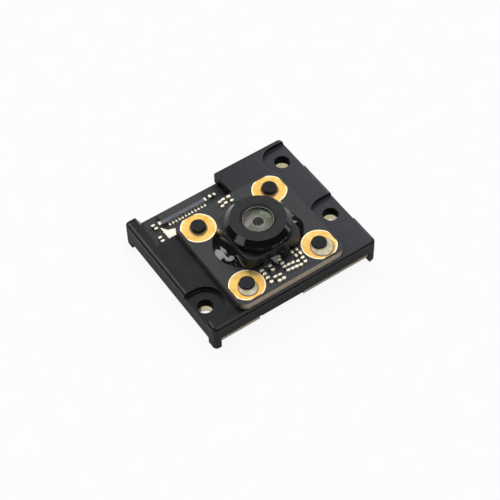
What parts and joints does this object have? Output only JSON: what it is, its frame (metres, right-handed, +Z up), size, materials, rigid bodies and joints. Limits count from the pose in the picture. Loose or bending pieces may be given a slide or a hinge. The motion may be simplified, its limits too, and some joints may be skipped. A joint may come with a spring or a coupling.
{
  "type": "barcode scanner module",
  "caption": "fixed-mount barcode scanner module: black moulded frame over a main board, camera board on glued posts, round lens, flat-cable connector and screw holes",
  "frame": {"origin": "middle of the footprint, at the underside of the corner feet", "axes": "+X along the long side to the right of the lens when the connector is at the back, +Y to the connector side, +Z up through the lens"},
  "size_m": [0.025, 0.0216, 0.009],
  "materials": {
    "black_plastic": "satin moulded black, fine spark-eroded grain, brighter along the edges",
    "black_board": "black solder mask over glass-fibre board, tan cut edge",
    "gold_plating": "thin immersion gold over nickel, soft sheen",
    "bright_tin": "tin and solder, lightly frosted",
    "pale_plastic": "pale blue-grey connector resin",
    "dark_plastic": "dark grey connector flap",
    "black_resin": "black connector resin",
    "pale_glue": "cured pale grey-beige adhesive, slightly glossy",
    "chip_ceramic": "dark fired ceramic, matt",
    "sensor_package": "dark grey sensor package",
    "clear_glass": "clear polished glass",
    "holder_plastic": "satin black moulding",
    "filter_glass": "polished glass with an infrared-cut coating",
    "black_adhesive": "glossy black cured adhesive",
    "barrel_plastic": "black lens barrel, matt face and glossy cone",
    "coated_glass": "lens glass with a green and amber anti-reflection coating",
    "stop_foil": "blackened foil",
    "chip_resin": "black moulded package",
    "crystal_metal": "bright metal lid",
    "ferrite": "dark grey ferrite"
  },
  "bodies": {
    "root": {"frame": "black_plastic", "main_board": "black_board", "hole_plating": "gold_plating", "ground_pad": "bright_tin", "connector_housing": "pale_plastic", "connector_actuator": "dark_plastic", "connector_contacts": "bright_tin", "connector_anchors": "bright_tin", "link_socket": "black_resin", "link_plug": "black_resin", "socket_tails": "gold_plating", "plug_tails": "gold_plating", "camera_board": "black_board", "corner_pads": "gold_plating", "post_glue": "pale_glue", "camera_chip_bodies": "chip_ceramic", "camera_chip_ends": "bright_tin", "main_chip_bodies": "chip_ceramic", "main_chip_ends": "bright_tin", "under_chip_bodies": "chip_ceramic", "under_chip_ends": "bright_tin", "image_sensor": "sensor_package", "sensor_glass": "clear_glass", "lens_holder": "holder_plastic", "infrared_filter": "filter_glass", "holder_adhesive": "black_adhesive", "lens_barrel": "barrel_plastic", "front_lens": "coated_glass", "aperture_stop": "stop_foil", "rear_lens": "coated_glass", "lens_retainer": "barrel_plastic", "decoder_chip": "chip_resin", "memory_chip": "chip_resin", "crystal": "crystal_metal", "inductor": "ferrite", "regulator": "chip_resin", "regulator_leads": "bright_tin"}
  },
  "joints": []
}
